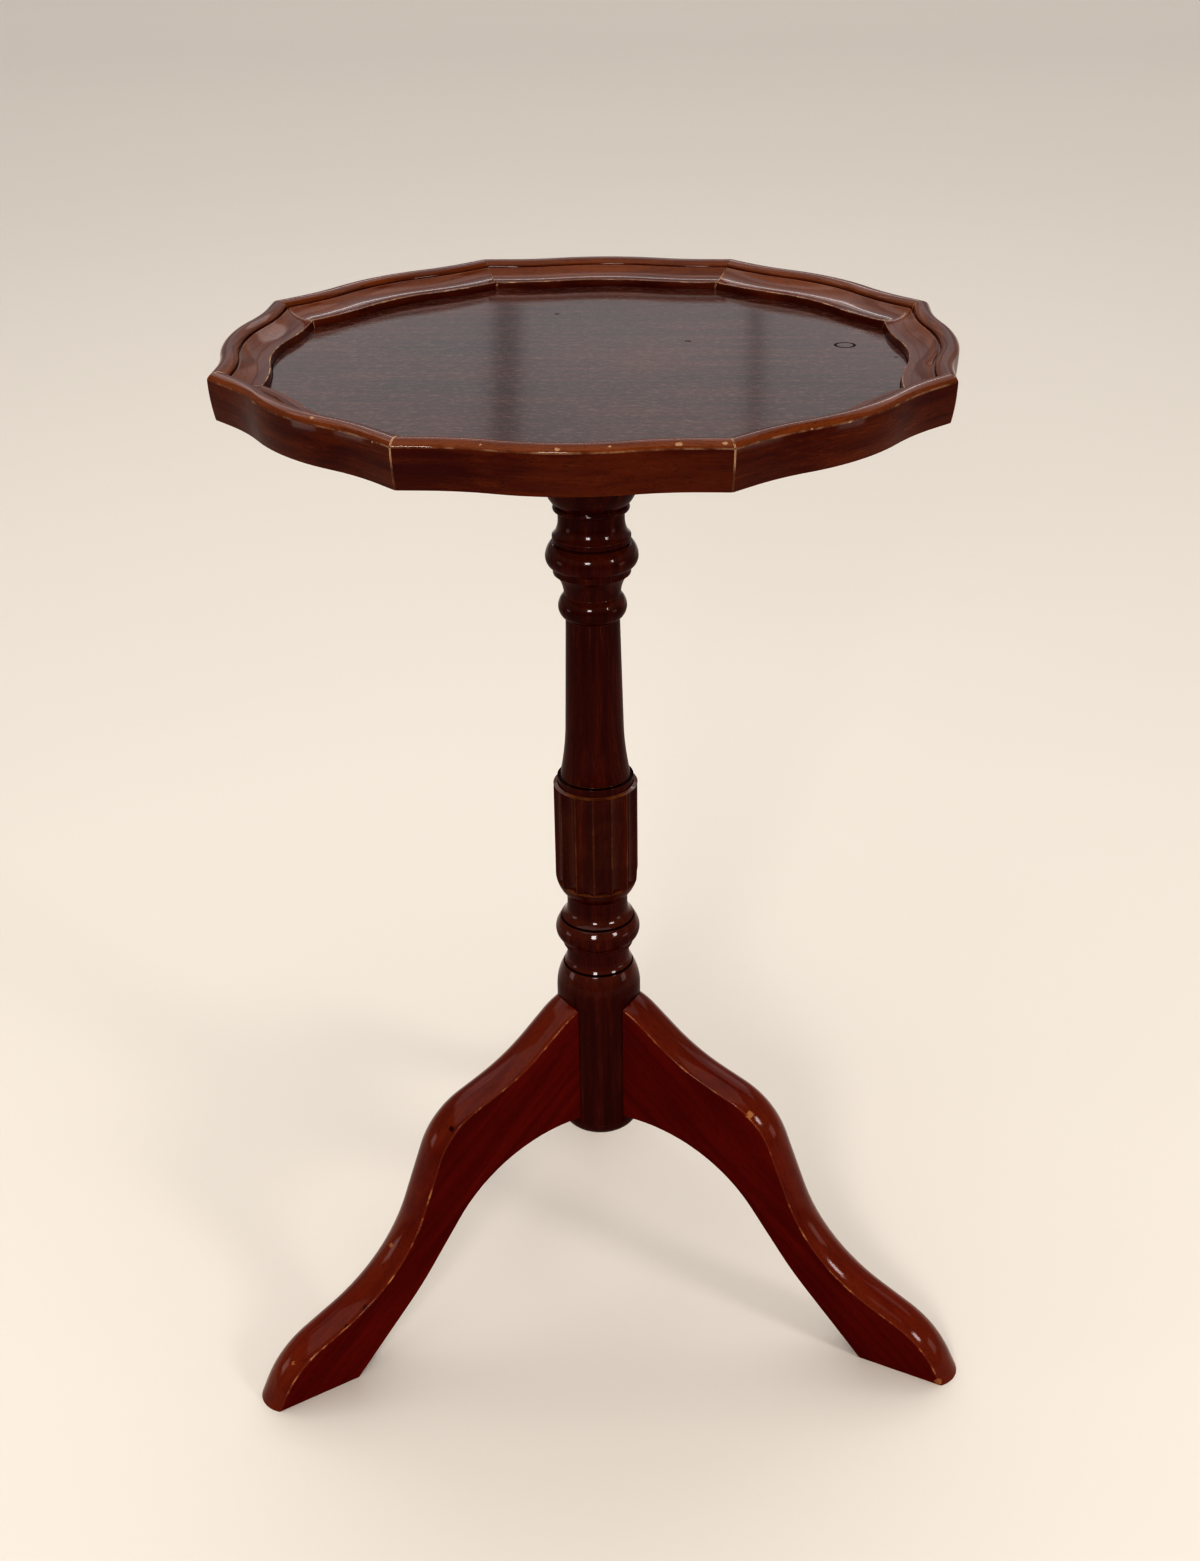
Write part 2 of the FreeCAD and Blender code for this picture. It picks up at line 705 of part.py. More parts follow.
def leg_top(start, end):
    """List the corners of a leg's upper edge, from the post to the toe."""
    corners = [Corner(start, leg_level("shoulder"))]
    for name in LEG_CORNERS[:-1]:
        corners.append(Corner(leg_reach(name), leg_level(name), f"{name}_bend"))
    return corners + [end]


def make_leg(name, turn):
    """Saw a leg to its outline, crown its upper edge, hollow its root to the post and bore it."""
    body = new_body(f"leg_{name}", turn)
    root = "-(post_radius / 2)"
    toe = leg_reach("toe")
    calf_reach = f"({leg_reach('ankle')} - calf_setback)"
    calf_level = f"({leg_level('ankle')} - calf_depth)"
    belly_reach = f"({leg_reach('knee')} - belly_setback)"
    underside = [
        Corner(f"({toe} - sole_length)", "0"),
        Corner(calf_reach, calf_level, "calf_bend"),
        Corner(belly_reach, BELLY_LEVEL, "belly_bend"),
        Corner(root, BELLY_LEVEL),
    ]
    outline = Outline(body, "XZ_Plane", "leg_outline")
    outline.round_off(leg_top(root, Corner(toe, "0")) + underside)
    pad(body, outline.sketch, "leg_thickness", symmetric=True)

    below = "-(leg_thickness / 2)"
    beyond = f"({toe} + toe_run / toe_drop * leg_thickness / 2)"
    path = Outline(body, "XZ_Plane", "crown_path")
    path.round_off(leg_top(root, Corner(beyond, below)), closed=False)
    half = "(leg_thickness / 2)"
    crown_bend = "((leg_thickness^2 / 4 + leg_crown^2) / (2 * leg_crown))"
    crown_start = leg_level("shoulder")
    crown_foot = f"({crown_start} - leg_crown_root)"
    crown = Outline(body, "YZ_Plane", "crown", offset=root)
    crown.trace([
        Knot(half, crown_start, crown_bend, RIGHT),
        Knot(f"-{half}", crown_start),
        Knot(f"-{half}", crown_foot),
        Knot(half, crown_foot),
    ])
    pipe(body, crown.sketch, path.sketch)

    sole = Outline(body, "XY_Plane", "sole")
    sole_end = f"({toe} + 2 * leg_thickness)"
    sole.trace([
        Knot("0", "-leg_thickness"),
        Knot(sole_end, "-leg_thickness"),
        Knot(sole_end, "leg_thickness"),
        Knot("0", "leg_thickness"),
    ])
    pocket(body, sole.sketch)
    cope = Outline(body, "XY_Plane", "cope").circle("0", "0", "(post_radius + joint_gap)")
    pocket(body, cope, along=True)
    holes = Outline(body, "YZ_Plane", "dowel_holes")
    for level in DOWEL_LEVELS:
        holes.circle("0", level, "(dowel_radius + fit_clearance)")
    pocket(body, holes.sketch, "post_radius + dowel_in_leg + fit_clearance", along=True)
    return body


def make_dowels(turn):
    """Make the dowels that join the legs to the post, as a group."""
    body = new_body("leg_dowels", turn)
    start = "(post_radius - dowel_in_post)"
    end = "(post_radius + dowel_in_leg)"
    features = []
    for level in DOWEL_LEVELS:
        dowel = Outline(body, "XZ_Plane", "dowel")
        side = f"({level} + dowel_radius)"
        tip = f"({side} - dowel_chamfer)"
        dowel.trace([
            Knot(start, level),
            Knot(start, tip),
            Knot(f"({start} + dowel_chamfer)", side),
            Knot(f"({end} - dowel_chamfer)", side),
            Knot(end, tip),
            Knot(end, level),
        ])
        axis_edge = f"Edge{dowel.sketch.GeometryCount}"
        features.append(spin(body, dowel.sketch, (dowel.sketch, [axis_edge])))
    repeat(body, features, len(LEGS))
    return body


def build():
    """Make every sub-part."""
    parts = [make_panel()]
    for index, side in enumerate(SIDES):
        parts.append(make_rim(side, f"{FRONT_TURN + index * FULL_TURN / len(SIDES)}"))
    parts += [make_block(), make_screws(), make_insert(), make_stud()]
    back = f"{BACK_TURN} + leg_turn"
    parts.append(make_column(back))
    for index, name in enumerate(LEGS):
        parts.append(make_leg(name, f"{back} + {index * FULL_TURN / len(LEGS)}"))
    parts.append(make_dowels(back))
    return parts


def check(parts):
    """Stop if anything in the document failed."""
    for item in doc.Objects:
        if "Invalid" in item.State or "Error" in item.State:
            raise RuntimeError(f"{item.Label} failed: {item.State}")
    for part in parts:
        if part.Shape.isNull() or not part.Shape.isValid():
            raise RuntimeError(f"{part.Label} has no valid shape")


parts = build()
doc.recompute()
check(parts)
os.makedirs("parts", exist_ok=True)
for part in parts:
    part.Shape.exportStep(f"parts/{part.Label}.step")
    box = part.Shape.optimalBoundingBox()
    solids = len(part.Shape.Solids)
    print(f"{part.Label}: {solids} solids, {part.Shape.Volume:.0f} mm3, "
          f"{box.XLength:.1f} x {box.YLength:.1f} x {box.ZLength:.1f} mm, from z {box.ZMin:.1f}")
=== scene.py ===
"""The looks of a piecrust side table: eased and worn arrises, lacquered wood, floor, light and camera."""

import logging
import math
from collections.abc import Callable, Mapping
from dataclasses import dataclass, field
from enum import Enum
from typing import Any, Union

import bmesh
import bpy
from mathutils import Euler, Matrix, Vector


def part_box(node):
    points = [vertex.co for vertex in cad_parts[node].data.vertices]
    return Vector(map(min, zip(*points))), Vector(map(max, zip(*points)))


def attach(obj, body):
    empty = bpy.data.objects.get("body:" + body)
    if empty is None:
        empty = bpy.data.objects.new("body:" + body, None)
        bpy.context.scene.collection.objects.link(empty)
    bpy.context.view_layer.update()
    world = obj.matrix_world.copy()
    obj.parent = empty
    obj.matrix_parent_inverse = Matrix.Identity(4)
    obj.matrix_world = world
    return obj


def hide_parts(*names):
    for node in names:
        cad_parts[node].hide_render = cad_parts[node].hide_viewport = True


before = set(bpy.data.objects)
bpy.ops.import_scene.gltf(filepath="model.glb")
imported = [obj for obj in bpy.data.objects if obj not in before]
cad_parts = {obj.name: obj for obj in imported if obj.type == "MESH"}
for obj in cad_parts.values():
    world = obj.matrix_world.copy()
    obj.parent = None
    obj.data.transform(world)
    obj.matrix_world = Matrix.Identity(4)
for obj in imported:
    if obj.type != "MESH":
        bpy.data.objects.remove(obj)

log = logging.getLogger("side_table")

MM = 0.001
BODY = "root"

# Names of the attributes that the eased meshes carry
ARRIS = "arris"
BOARD = "board"

# How a mesh is cleaned before and after it is eased, in metres and degrees
MERGE_REACH = 0.001 * MM
FLAT_TURN = 0.2
QUAD_TURN = 12.0
QUAD_SKEW = 60.0

# The material slot that tells a bevel's new faces from the rest
BEVEL_SLOT = 1

Colour = tuple[float, float, float]
Point = tuple[float, float, float]
Span = tuple[float, float]
Number = Union["Value", float]


# Shader maths


class Value:
    """The output of a node, with arithmetic that adds Math nodes."""

    def __init__(self, bench: "Bench", socket: bpy.types.NodeSocket) -> None:
        """Wrap an output socket of a bench's node tree."""
        self.bench = bench
        self.socket = socket

    def maths(self, operation: str, first: Number, second: Number) -> "Value":
        """Add one Math node.

        Args:
            operation: The Math node's operation.
            first: Its first value.
            second: Its second value.

        Returns:
            The node's result.
        """
        return self.bench.node("ShaderNodeMath", {"operation": operation}, {0: first, 1: second})

    def __add__(self, other: Number) -> "Value":
        """Add a value."""
        return self.maths("ADD", self, other)

    def __radd__(self, other: Number) -> "Value":
        """Add this to a number."""
        return self.maths("ADD", other, self)

    def __sub__(self, other: Number) -> "Value":
        """Take a value away."""
        return self.maths("SUBTRACT", self, other)

    def __rsub__(self, other: Number) -> "Value":
        """Take this away from a number."""
        return self.maths("SUBTRACT", other, self)

    def __mul__(self, other: Number) -> "Value":
        """Multiply by a value."""
        return self.maths("MULTIPLY", self, other)

    def __rmul__(self, other: Number) -> "Value":
        """Multiply a number by this."""
        return self.maths("MULTIPLY", other, self)

    def __abs__(self) -> "Value":
        """Drop the sign."""
        return self.maths("ABSOLUTE", self, 0.0)

    def most(self, other: Number) -> "Value":
        """Take the larger of two values."""
        return self.maths("MAXIMUM", self, other)

    def rise(self, low: float, high: float) -> "Value":
        """Go smoothly from 0 to 1.

        Args:
            low: Where the result is 0.
            high: Where the result is 1; below low, the result falls instead.

        Returns:
            The smooth step.
        """
        return self.bench.node(
            "ShaderNodeMapRange",
            {"interpolation_type": "SMOOTHSTEP"},
            {"Value": self, "From Min": low, "From Max": high},
        )


class Bench:
    """The node tree of one material."""

    def __init__(self, name: str) -> None:
        """Start an empty material."""
        self.material = bpy.data.materials.new(name)
        self.material.use_nodes = True
        self.tree = self.material.node_tree
        self.tree.nodes.clear()

    def node(
        self,
        kind: str,
        settings: Mapping[str, Any],
        sockets: Mapping[str | int, Any],
        output: str | int = 0,
    ) -> Value:
        """Add a node.

        Args:
            kind: The node's type.
            settings: The node's own settings, which are set first.
            sockets: The value or link of each input socket, by name or place.
            output: The output socket that is wanted.

        Returns:
            That output.
        """
        made = self.tree.nodes.new(kind)
        for name, setting in settings.items():
            setattr(made, name, setting)
        for name, value in sockets.items():
            if isinstance(value, Value):
                self.tree.links.new(value.socket, made.inputs[name])
            else:
                made.inputs[name].default_value = value
        return Value(self, made.outputs[output])

    def place(self) -> Value:
        """Read the place on the table, in metres."""
        return self.node("ShaderNodeTexCoord", {}, {}, "Object")

    def facing(self) -> Value:
        """Read the way the surface faces."""
        return self.node("ShaderNodeNewGeometry", {}, {}, "Normal")

    def attribute(self, name: str, output: str) -> Value:
        """Read an attribute of the piece's own mesh."""
        return self.node("ShaderNodeAttribute", {"attribute_name": name}, {}, output)

    def scaled(self, place: Value, scale: Point) -> Value:
        """Stretch a place by a scale along each axis."""
        return self.node("ShaderNodeVectorMath", {"operation": "MULTIPLY"}, {0: place, 1: scale})

    def distance(self, place: Value, point: Point) -> Value:
        """Measure the distance to a point."""
        return self.node(
            "ShaderNodeVectorMath", {"operation": "DISTANCE"}, {0: place, 1: point}, "Value"
        )

    def part(self, vector: Value, axis: str) -> Value:
        """Take one axis of a vector."""
        return self.node("ShaderNodeSeparateXYZ", {}, {0: vector}, axis)

    def noise(self, place: Value, scale: float = 1.0, detail: float = 2.0, roughness: float = 0.5) -> Value:
        """Add soft noise.

        Args:
            place: Where it is read.
            scale: Its cells for each unit of place.
            detail: How many finer layers it has.
            roughness: How strong those layers are.

        Returns:
            The noise, about 0.5 on average.
        """
        sockets = {"Vector": place, "Scale": scale, "Detail": detail, "Roughness": roughness}
        return self.node("ShaderNodeTexNoise", {}, sockets)

    def blend(self, base: Value | Colour, over: Value | Colour, share: Number) -> Value:
        """Blend one colour over another.

        Args:
            base: The colour where the share is 0.
            over: The colour where the share is 1.
            share: How much of the second colour shows.

        Returns:
            The blended colour.
        """
        first, second = ((*c, 1.0) if isinstance(c, tuple) else c for c in (base, over))
        return self.node("ShaderNodeMix", {"data_type": "RGBA"}, {0: share, 6: first, 7: second}, 2)

    def bump(self, height: Value, strength: float, distance: float) -> Value:
        """Turn a height into a normal."""
        sockets = {"Height": height, "Strength": strength, "Distance": distance}
        return self.node("ShaderNodeBump", {}, sockets)

    def surface(self, sockets: Mapping[str, Any]) -> bpy.types.Material:
        """Finish the material with one shader.

        Args:
            sockets: The shader's sockets by name.

        Returns:
            The material.
        """
        shader = self.node("ShaderNodeBsdfPrincipled", {}, sockets)
        end = self.tree.nodes.new("ShaderNodeOutputMaterial")
        self.tree.links.new(shader.socket, end.inputs["Surface"])
        return self.material


# Finishes


# Upward parts of a normal: from upright to sloping and from level to sloping, between which the painted top
# light is laid, and from a thin coat to a full one
UPRIGHT_TO_SLOPING = (0.05, 0.6)
LEVEL_TO_SLOPING = (1.15, 0.7)
THIN_TO_FULL = (0.05, 0.5)

# Values of noise between which the grain changes
DEEP_TO_WARM = (0.36, 0.66)
DARK_TO_LIT_FIBRE = (0.48, 0.78)
DARK_TO_LIT_STREAK = (0.42, 0.66)
CLOSED_TO_OPEN_PORE = (0.60, 0.72)

# Shares of the streaks in the stain's tone, of the tone in the painted top light and of the pores in the
# colour
STREAK_SHARE = 0.65
TONE_SHARE = 0.4
PORE_SHARE = 0.55

# The height of a fibre next to the depth of a pore
FIBRE_HEIGHT = 0.5

# Places along Y between which the wear changes, and the noise at which an arris is rubbed through
BACK_TO_FRONT = (0.10, -0.10)
WHOLE_TO_RUBBED = (0.92, 1.10)

# Noise cells for each metre in the wear and in the haze
RUB_CELLS = 85.0
HAZE_CELLS = 40.0

# A mark's ragged outline, next to its radius: the noise's cells, and how far they move it
RAGGED_CELLS = 1.3
RAGGED_REACH = 2.4

# Where a mark and a ring's line end and where they are full, next to the radius
MARK_EDGE = (2.1, 1.9)
RING_EDGE = (0.22, 0.06)

# What worn lacquer loses in shine and gains in roughness and depth
WORN_DULL = 0.7
WORN_ROUGH = 0.25
WORN_DEPTH = 2.0

# How far the stain's roughness varies, and the relief of the grain
HAZE = 0.12
RELIEF = 0.12
RELIEF_DEPTH = 0.15 * MM


class Grain(Enum):
    """The axis of a piece's own frame along which its grain runs."""

    ALONG_X = 0
    ALONG_Y = 1
    ALONG_Z = 2

    def noise(
        self, bench: Bench, board: Value, cells: Span, detail: float, roughness: float = 0.5
    ) -> Value:
        """Add noise that is drawn out along the grain.

        Args:
            bench: The material's nodes.
            board: The place on the piece's own board.
            cells: The noise cells for each metre along the grain and across it.
            detail: How many finer layers it has.
            roughness: How strong those layers are.

        Returns:
            The noise, about 0.5 on average.
        """
        along, across = cells
        stretch = tuple(along if axis == self.value else across for axis in range(3))
        return bench.noise(bench.scaled(board, stretch), 1.0, detail, roughness)


class Harm(Enum):
    """What a mark does to the lacquer."""

    CHIP = "bare wood shows"
    DENT = "the lacquer is bruised dark"
    RING = "a dark ring is pressed into it"


@dataclass(frozen=True)
class Mark:
    """One chip, dent or pressed ring.

    Attributes:
        place: Its middle on the table, in metres.
        radius: Half its width, in metres.
        harm: What it does.
        flat: How many times wider it is than high.
        depth: How strongly it shows.
    """

    place: Point
    radius: float
    harm: Harm = Harm.CHIP
    flat: float = 1.0
    depth: float = 0.6


@dataclass(frozen=True)
class Lacquer:
    """Red-brown stained wood under a clear gloss lacquer.

    Attributes:
        name: The material's name.
        deep: The stain where it is darkest.
        warm: The stain where it is thinner.
        streak: The fibres that show lightest.
        pore: The pores' colour.
        bare: The wood where the lacquer is worn off.
        painted_top_light_colour: Painted light on sloping faces that look up: a lighter colour standing in
            for the light that falls on them from above.
        grain: The way the grain runs.
        own_frame: Whether the grain follows the piece's own board.
        painted_top_light_strength: How strongly that painted light is laid on those faces.
        figure: How strongly the streaks show.
        fleck: How strongly single fibres show away from the streaks.
        cloud: The clouds in the stain for each metre.
        streaks: The streaks for each metre along the grain and across it.
        fibre: The fibres for each metre along the grain and across it.
        pores: The pores for each metre along the grain and across it.
        roughness: The stain's own roughness.
        gloss: The lacquer's roughness.
        coat_ior: The lacquer's index of refraction.
        upright: How much of the lacquer's shine is left on upright faces, where it ran thin.
        wear: How much of each arris is worn at the front.
        wear_behind: How much of each arris is worn at the back.
        rubbed: How much bare wood shines through on the rest of each arris.
        marks: Its chips, dents and rings.
    """

    name: str
    deep: Colour
    warm: Colour
    streak: Colour
    pore: Colour
    bare: Colour
    painted_top_light_colour: Colour
    grain: Grain
    own_frame: bool = False
    painted_top_light_strength: float = 0.6
    figure: float = 0.5
    fleck: float = 0.0
    cloud: float = 16.0
    streaks: Span = (9.0, 210.0)
    fibre: Span = (55.0, 1300.0)
    pores: Span = (230.0, 2600.0)
    roughness: float = 0.4
    gloss: float = 0.09
    coat_ior: float = 1.26
    upright: float = 1.0
    wear: float = 0.6
    wear_behind: float = 0.25
    rubbed: float = 0.25
    marks: tuple[Mark, ...] = ()

    def stain(self, bench: Bench, board: Value) -> tuple[Value, Value]:
        """Lay the stain over the grain, with painted light on the sloping faces that look up.

        Args:
            bench: The material's nodes.
            board: The place on the piece's own board.

        Returns:
            The colour, and the height of the grain under the lacquer.
        """
        cloud = bench.noise(board, self.cloud, 2.0)
        streaks = self.grain.noise(bench, board, self.streaks, 5.0, 0.62)
        fibres = self.grain.noise(bench, board, self.fibre, 3.0, 0.6)
        pores = self.grain.noise(bench, board, self.pores, 1.0).rise(*CLOSED_TO_OPEN_PORE)
        tone = (streaks * STREAK_SHARE + cloud * (1.0 - STREAK_SHARE)).rise(*DEEP_TO_WARM)
        facing = bench.part(bench.facing(), "Z")
        # Painted light: sloping faces that look up get a lighter colour, as if lit from above
        painted_top_light_mask = facing.rise(*UPRIGHT_TO_SLOPING) * facing.rise(*LEVEL_TO_SLOPING) * self.painted_top_light_strength
        colour = bench.blend(self.deep, self.warm, tone)
        colour = bench.blend(colour, self.painted_top_light_colour, painted_top_light_mask * (tone * TONE_SHARE + (1.0 - TONE_SHARE)))
        figure = streaks.rise(*DARK_TO_LIT_STREAK) * self.figure
        lit = fibres.rise(*DARK_TO_LIT_FIBRE) * (figure + self.fleck)
        colour = bench.blend(colour, self.streak, lit)
        colour = bench.blend(colour, self.pore, pores * PORE_SHARE)
        return colour, fibres * FIBRE_HEIGHT - pores

    def worn(self, bench: Bench, place: Value) -> Value:
        """Find where the lacquer is worn off.

        Args:
            bench: The material's nodes.
            place: The place on the table.

        Returns:
            1 where bare wood shows.
        """
        front = bench.part(place, "Y").rise(*BACK_TO_FRONT)
        rub = bench.noise(place, RUB_CELLS, 4.0, 0.65)
        share = front * (self.wear - self.wear_behind) + self.wear_behind
        arris = bench.attribute(ARRIS, "Fac").most(0.0)
        worn = arris * ((rub + share).rise(*WHOLE_TO_RUBBED) * (1.0 - self.rubbed) + self.rubbed)
        for mark in self.marks:
            if mark.harm is Harm.CHIP:
                worn = worn.most(self.spot(bench, place, mark) * mark.depth)
        return worn

    def spot(self, bench: Bench, place: Value, mark: Mark) -> Value:
        """Give a mark a ragged outline.

        Args:
            bench: The material's nodes.
            place: The place on the table.
            mark: The mark.

        Returns:
            1 inside the mark.
        """
        squash = (1.0, 1.0, mark.flat)
        middle = tuple(part * scale for part, scale in zip(mark.place, squash))
        reach = bench.distance(bench.scaled(place, squash), middle)
        if mark.harm is Harm.RING:
            return abs(reach - mark.radius).rise(*(edge * mark.radius for edge in RING_EDGE))
        ragged = bench.noise(place, RAGGED_CELLS / mark.radius, 4.0, 0.75) * (RAGGED_REACH * mark.radius)
        return (reach + ragged).rise(*(edge * mark.radius for edge in MARK_EDGE))

    def material(self) -> bpy.types.Material:
        """Make the material."""
        bench = Bench(self.name)
        place = bench.place()
        board = bench.attribute(BOARD, "Vector") if self.own_frame else place
        colour, grain_height = self.stain(bench, board)
        worn = self.worn(bench, place)
        # Painted shade: faces marked below 0, the column's grooves, are darkened towards the pore colour
        # and lose their coat
        painted_groove_shade = (bench.attribute(ARRIS, "Fac") * -1.0).most(0.0)
        colour = bench.blend(colour, self.pore, painted_groove_shade)
        dull = (worn * WORN_DULL).most(painted_groove_shade)
        for mark in self.marks:
            if mark.harm is not Harm.CHIP:
                bruise = self.spot(bench, place, mark) * mark.depth
                colour = bench.blend(colour, self.pore, bruise)
                dull = dull.most(bruise)
        colour = bench.blend(colour, self.bare, worn)
        haze = bench.noise(place, HAZE_CELLS, 3.0)
        facing = bench.part(bench.facing(), "Z")
        thick = facing.rise(*THIN_TO_FULL) * (1.0 - self.upright) + self.upright
        return bench.surface({
            "Base Color": colour,
            "Roughness": haze * HAZE + (self.roughness - HAZE / 2) + worn * WORN_ROUGH,
            "Specular IOR Level": 0.0,
            "Coat Weight": (1.0 - dull) * thick,
            "Coat Roughness": self.gloss,
            "Coat IOR": self.coat_ior,
            "Normal": bench.bump(grain_height - worn * WORN_DEPTH, RELIEF, RELIEF_DEPTH),
        })


@dataclass(frozen=True)
class PlainWood:
    """Hardwood without lacquer.

    Attributes:
        name: The material's name.
        dark: The darker grain.
        light: The lighter grain.
        grain: The way the grain runs.
        streaks: The streaks for each metre along the grain and across it.
        pores: The pores for each metre along the grain and across it.
    """

    name: str
    dark: Colour
    light: Colour
    grain: Grain
    streaks: Span = (12.0, 260.0)
    pores: Span = (200.0, 2200.0)

    def material(self) -> bpy.types.Material:
        """Make the material."""
        bench = Bench(self.name)
        place = bench.place()
        streaks = self.grain.noise(bench, place, self.streaks, 5.0, 0.6)
        pores = self.grain.noise(bench, place, self.pores, 1.0).rise(*CLOSED_TO_OPEN_PORE)
        colour = bench.blend(self.dark, self.light, streaks.rise(0.35, 0.68))
        return bench.surface({
            "Base Color": bench.blend(colour, self.dark, pores * 0.6),
            "Roughness": streaks * 0.2 + 0.5,
            "Normal": bench.bump(streaks - pores, 0.2, 0.2 * MM),
        })


@dataclass(frozen=True)
class PlainMetal:
    """Turned metal with fine tool marks.

    Attributes:
        name: The material's name.
        colour: The metal's colour.
        dull: The colour where it is dull.
        tool_marks: The tool marks for each metre along each axis.
    """

    name: str
    colour: Colour
    dull: Colour
    tool_marks: Point = (300.0, 300.0, 4200.0)

    def material(self) -> bpy.types.Material:
        """Make the material."""
        bench = Bench(self.name)
        place = bench.place()
        turned = bench.noise(bench.scaled(place, self.tool_marks), 1.0, 2.0)
        cloud = bench.noise(place, 260.0, 3.0)
        return bench.surface({
            "Base Color": bench.blend(self.colour, self.dull, cloud.rise(0.4, 0.7)),
            "Metallic": 1.0,
            "Roughness": turned * 0.2 + 0.22,
            "Normal": bench.bump(turned, 0.15, 0.1 * MM),
        })


@dataclass(frozen=True)
class PaleFloor:
    """A plain pale matt floor.

    Attributes:
        name: The material's name.
        colour: Its colour.
        shade: The slightly darker colour that it drifts to.
    """

    name: str = "pale_floor"
    colour: Colour = (0.635, 0.57, 0.495)
    shade: Colour = (0.615, 0.55, 0.475)

    def material(self) -> bpy.types.Material:
        """Make the material."""
        bench = Bench(self.name)
        cloud = bench.noise(bench.place(), 1.3, 3.0)
        return bench.surface({
            "Base Color": bench.blend(self.colour, self.shade, cloud),
            "Roughness": cloud * 0.1 + 0.55,
        })


# Modelling


def heading(node: str) -> float:
    """Find the way a node faces, seen from the column's axis.

    Args:
        node: The node's name.

    Returns:
        The turn about the axis from +X, in radians.
    """
    points = [vertex.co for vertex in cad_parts[node].data.vertices]
    middle = sum(points, Vector()) / len(points)
    return math.atan2(middle.y, middle.x)


def sideways(turn: float) -> Vector:
    """Give the level direction square to a heading."""
    return Vector((-math.sin(turn), math.cos(turn), 0.0))


def middle_of(edge: bmesh.types.BMEdge) -> Vector:
    """Find the middle of an edge."""
    return (edge.verts[0].co + edge.verts[1].co) / 2


def wear_new_faces(face: bpy.types.MeshPolygon, is_new: bool) -> float:
    """Wear the faces of an eased arris fully, and the rest not at all."""
    return float(is_new)


def dress(node: str, material: bpy.types.Material) -> None:
    """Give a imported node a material.

    Args:
        node: The node's name.
        material: Its material.
    """
    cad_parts[node].data.materials.clear()
    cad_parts[node].data.materials.append(material)
    log.info("%s: dressed with %s", node, material.name)


